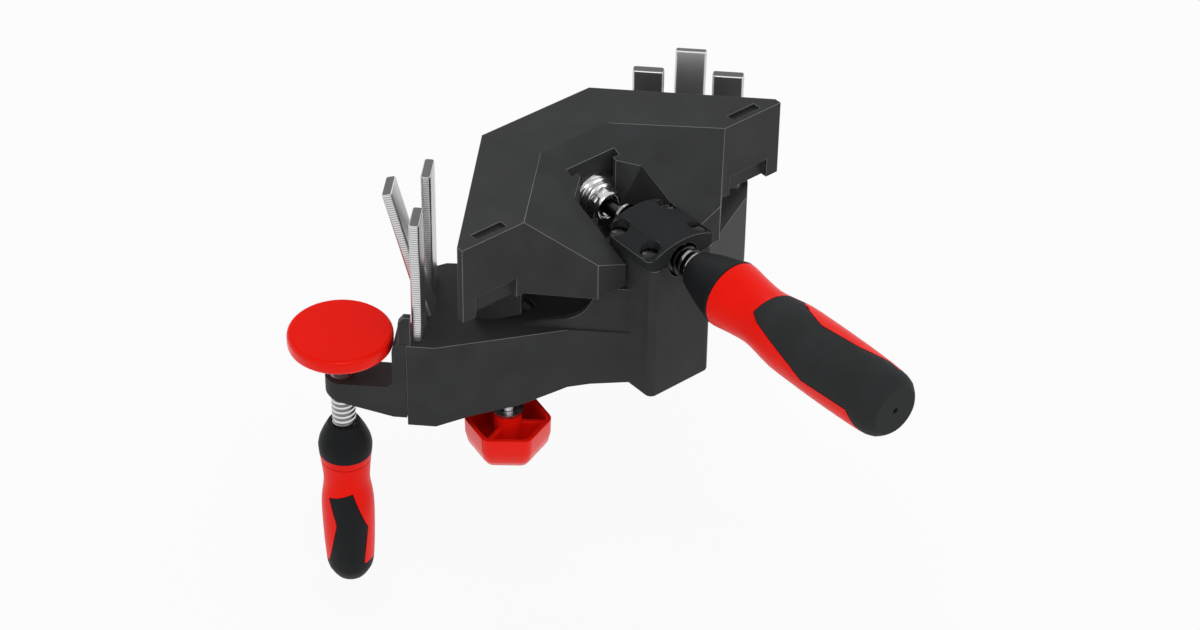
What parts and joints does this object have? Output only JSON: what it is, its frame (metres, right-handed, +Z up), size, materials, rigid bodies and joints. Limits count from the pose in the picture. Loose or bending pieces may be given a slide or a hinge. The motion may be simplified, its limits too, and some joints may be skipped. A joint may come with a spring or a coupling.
{
  "type": "corner glue clamp",
  "caption": "Corner clamp for gluing boards at a right angle: a handled spindle drives a roof-shaped jaw towards steel bars on a V-shaped base, with a bench bracket, pad and lock knob.",
  "frame": {"origin": "On the bench, under the middle of the base's centre foot, at the height of the feet.", "axes": "+Z up, +Y towards the corner of the boards, -Y along the main handle, +X to the right arm; the bench bracket is on the left arm."},
  "size_m": [0.2666, 0.2799, 0.2294],
  "materials": {
    "black_plastic": "glass-filled moulding, fine matt grain",
    "soft_black": "soft moulded grip, matt",
    "red_plastic": "smooth satin moulding",
    "zinc_steel": "bright zinc plating",
    "dark_steel": "black oxide"
  },
  "bodies": {
    "base": {"base": "black_plastic", "column_cap": "black_plastic", "cap_screw_front_left": "dark_steel", "cap_screw_front_right": "dark_steel", "cap_screw_rear_left": "dark_steel", "cap_screw_rear_right": "dark_steel", "spindle_nut": "zinc_steel", "left_front_bar": "zinc_steel", "left_middle_bar": "zinc_steel", "left_rear_bar": "zinc_steel", "right_front_bar": "zinc_steel", "right_middle_bar": "zinc_steel", "right_rear_bar": "zinc_steel", "table_bracket": "black_plastic", "clamp_nut": "zinc_steel"},
    "roof": {"roof_jaw": "black_plastic", "swivel_bush": "zinc_steel", "runner_screw_left": "zinc_steel", "runner_screw_right": "zinc_steel", "runner_washer_left": "zinc_steel", "runner_washer_right": "zinc_steel"},
    "main_spindle": {"main_spindle": "dark_steel", "swivel_ring": "zinc_steel", "main_handle": "red_plastic", "main_handle_collar": "soft_black", "main_handle_grip": "soft_black"},
    "pad": {"table_pad": "red_plastic", "pad_ring": "zinc_steel"},
    "table_spindle": {"table_spindle": "zinc_steel", "table_handle": "red_plastic", "table_handle_collar": "soft_black", "table_handle_grip": "soft_black"},
    "knob_washer": {"knob_washer": "zinc_steel"},
    "knob": {"lock_knob": "red_plastic", "knob_stud": "zinc_steel"}
  },
  "joints": [
    {"name": "jaw_slide", "type": "slide", "parent": "base", "child": "roof", "axis": [0, 1, 0], "range_m": [-0.02, 0.009]},
    {"name": "spindle_turn", "type": "hinge", "parent": "roof", "child": "main_spindle", "pos_m": [0, 0, 0.094], "axis": [0, 1, 0], "range_deg": [-1860, 870]},
    {"name": "pad_slide", "type": "slide", "parent": "base", "child": "pad", "axis": [0, 0, 1], "range_m": [-0.012, 0.015]},
    {"name": "table_turn", "type": "hinge", "parent": "pad", "child": "table_spindle", "pos_m": [-0.12735, 0.06371, 0], "axis": [0, 0, 1], "range_deg": [-1530, 1890]},
    {"name": "knob_slide", "type": "slide", "parent": "base", "child": "knob_washer", "axis": [0, 0, 1], "range_m": [-0.003, 0.00625]},
    {"name": "knob_turn", "type": "hinge", "parent": "knob_washer", "child": "knob", "pos_m": [-0.06187, 0.0152, 0], "axis": [0, 0, 1], "range_deg": [-960, 1920]}
  ],
  "couplings": [
    {"joint": "spindle_turn", "follows": "jaw_slide", "rad_per_m": 1570.8},
    {"joint": "table_turn", "follows": "pad_slide", "rad_per_m": 2094.4},
    {"joint": "knob_turn", "follows": "knob_slide", "rad_per_m": 5026.5}
  ]
}
